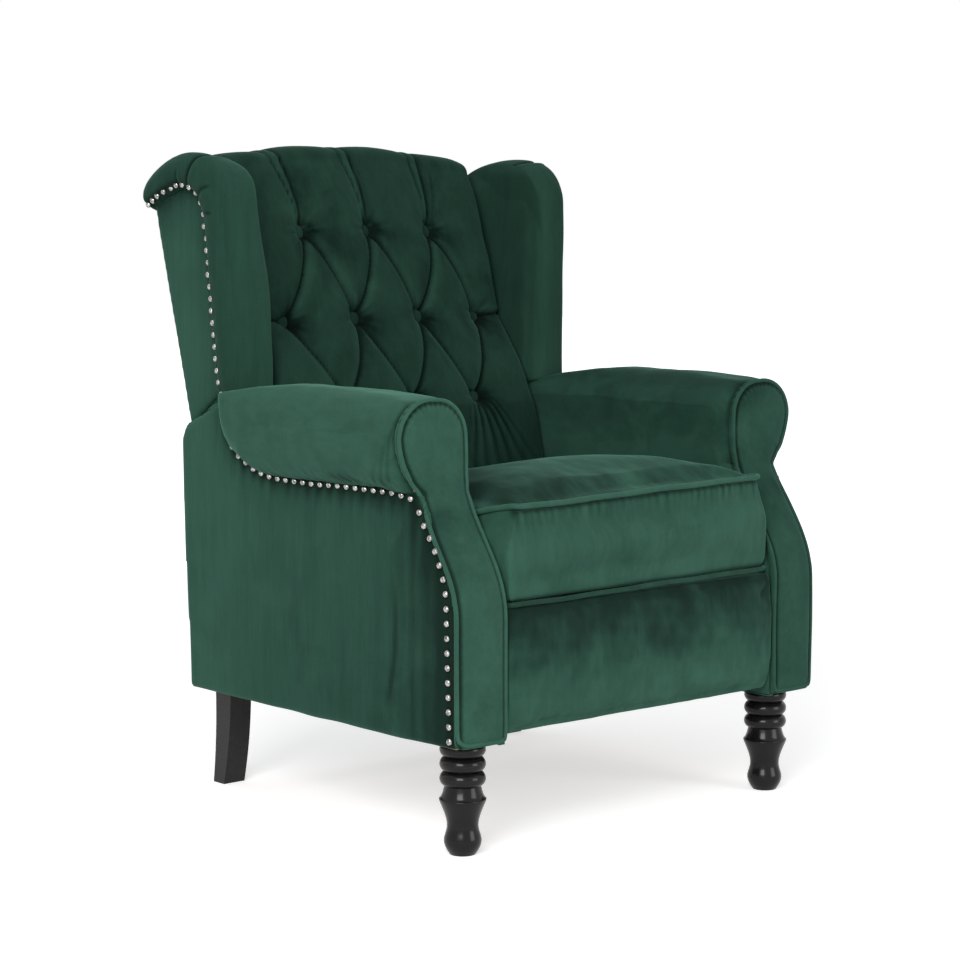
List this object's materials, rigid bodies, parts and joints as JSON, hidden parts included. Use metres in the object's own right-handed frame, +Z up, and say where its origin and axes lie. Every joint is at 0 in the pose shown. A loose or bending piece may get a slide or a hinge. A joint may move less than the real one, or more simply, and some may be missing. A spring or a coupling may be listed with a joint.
{
  "type": "wingback recliner",
  "caption": "Push-back wingback recliner: button-tufted back between wings, rolled arms with scroll fronts and nail trim, crowned seat, swing-out footrest, turned front legs.",
  "frame": {"origin": "on the floor, in the middle of the chair's plan", "axes": "+Z up, the chair faces -Y, +X to the right when looking along +Y"},
  "size_m": [0.77, 0.7671, 0.9708],
  "materials": {
    "velvet": "deep green velvet",
    "black_lacquer": "satin black lacquer",
    "frame_wood": "sawn, unfinished",
    "mechanism_paint": "black painted steel",
    "zinc_steel": "zinc plated",
    "webbing": "woven elastic webbing"
  },
  "bodies": {
    "base": {"front_leg_left": "black_lacquer", "front_leg_right": "black_lacquer", "rear_leg_left": "black_lacquer", "rear_leg_right": "black_lacquer", "leg_bolts": "zinc_steel", "arm_base_plank_left": "frame_wood", "arm_base_plank_right": "frame_wood", "arm_posts": "frame_wood", "arm_top_rails": "frame_wood", "mechanism_boards": "frame_wood", "rear_rail": "frame_wood", "middle_rail": "frame_wood", "mechanism_rails": "mechanism_paint", "rail_screws": "zinc_steel", "rail_rivets": "zinc_steel", "arm_outer_panel_left": "velvet", "arm_outer_panel_right": "velvet", "arm_inner_pad_left": "velvet", "arm_inner_pad_right": "velvet", "arm_roll_pad_left": "velvet", "arm_roll_pad_right": "velvet", "arm_facing_left": "velvet", "arm_facing_right": "velvet"},
    "front_swing": {"front_swing_links": "mechanism_paint"},
    "rear_swing": {"rear_swing_links": "mechanism_paint", "torque_tube": "mechanism_paint"},
    "seat": {"seat_side_plate_left": "mechanism_paint", "seat_side_plate_right": "mechanism_paint", "seat_cross_rails": "frame_wood", "seat_side_rails": "frame_wood", "seat_webbing": "webbing", "seat_cushion": "velvet", "seat_rivets": "zinc_steel"},
    "lift_links": {"footrest_lift_link_left": "mechanism_paint", "footrest_lift_link_right": "mechanism_paint", "elbow_rivets": "zinc_steel"},
    "long_links": {"footrest_long_link_left": "mechanism_paint", "footrest_long_link_right": "mechanism_paint"},
    "cross_links": {"footrest_cross_link_left": "mechanism_paint", "footrest_cross_link_right": "mechanism_paint", "tip_rivets": "zinc_steel"},
    "tip_links": {"footrest_tip_link_left": "mechanism_paint", "footrest_tip_link_right": "mechanism_paint"},
    "footrest": {"footrest_bracket_left": "mechanism_paint", "footrest_bracket_right": "mechanism_paint", "footrest_board": "frame_wood", "footrest_pad": "velvet", "panel_rivets": "zinc_steel"},
    "back": {"back_posts": "frame_wood", "back_rails": "frame_wood", "back_webbing": "webbing", "back_cushion": "velvet", "back_buttons": "velvet", "outside_back_panel": "velvet", "back_hinge_brackets": "mechanism_paint", "wing_frames": "frame_wood", "wing_pad_left": "velvet", "wing_pad_right": "velvet", "wing_outer_panel_left": "velvet", "wing_outer_panel_right": "velvet"}
  },
  "joints": [
    {"name": "opening_swing", "type": "hinge", "parent": "base", "child": "front_swing", "pos_m": [0, -0.20395, 0.2], "axis": [1, 0, 0], "range_deg": [0, 53.6]},
    {"name": "lift_link_hinge", "type": "hinge", "parent": "seat", "child": "lift_links", "pos_m": [0, -0.24025, 0.2503], "axis": [-1, 0, 0], "range_deg": [-0.05, 139.05]},
    {"name": "rear_swing_hinge", "type": "hinge", "parent": "base", "child": "rear_swing", "pos_m": [0, 0.06605, 0.2], "axis": [1, 0, 0], "range_deg": [-0.05, 53.65]},
    {"name": "seat_hinge", "type": "hinge", "parent": "front_swing", "child": "seat", "pos_m": [0, -0.15445, 0.2495], "axis": [-1, 0, 0], "range_deg": [-0.05, 53.65]},
    {"name": "long_link_hinge", "type": "hinge", "parent": "lift_links", "child": "long_links", "pos_m": [0, -0.12615, 0.188], "axis": [1, 0, 0], "range_deg": [-0.05, 134.23]},
    {"name": "footrest_hinge", "type": "hinge", "parent": "long_links", "child": "footrest", "pos_m": [0, -0.29995, 0.262], "axis": [-1, 0, 0], "range_deg": [-0.05, 73.3]},
    {"name": "cross_link_hinge", "type": "hinge", "parent": "seat", "child": "cross_links", "pos_m": [0, -0.28955, 0.2822], "axis": [-1, 0, 0], "range_deg": [-0.05, 133.55]},
    {"name": "tip_link_hinge", "type": "hinge", "parent": "cross_links", "child": "tip_links", "pos_m": [0, -0.15305, 0.1879], "axis": [1, 0, 0], "range_deg": [-0.05, 119.72]},
    {"name": "back_recline", "type": "hinge", "parent": "seat", "child": "back", "pos_m": [0, 0.16574, 0.30651], "axis": [-1, 0, 0], "range_deg": [0, 26]}
  ],
  "couplings": [
    {"joint": "rear_swing_hinge", "follows": "opening_swing", "ratio": 1},
    {"joint": "lift_link_hinge", "follows": "opening_swing", "ratio": 2.5933},
    {"joint": "seat_hinge", "follows": "opening_swing", "ratio": 1},
    {"joint": "long_link_hinge", "follows": "opening_swing", "ratio": 2.5034},
    {"joint": "footrest_hinge", "follows": "opening_swing", "ratio": 1.3666},
    {"joint": "cross_link_hinge", "follows": "opening_swing", "ratio": 2.4907},
    {"joint": "tip_link_hinge", "follows": "opening_swing", "ratio": 2.2326}
  ]
}
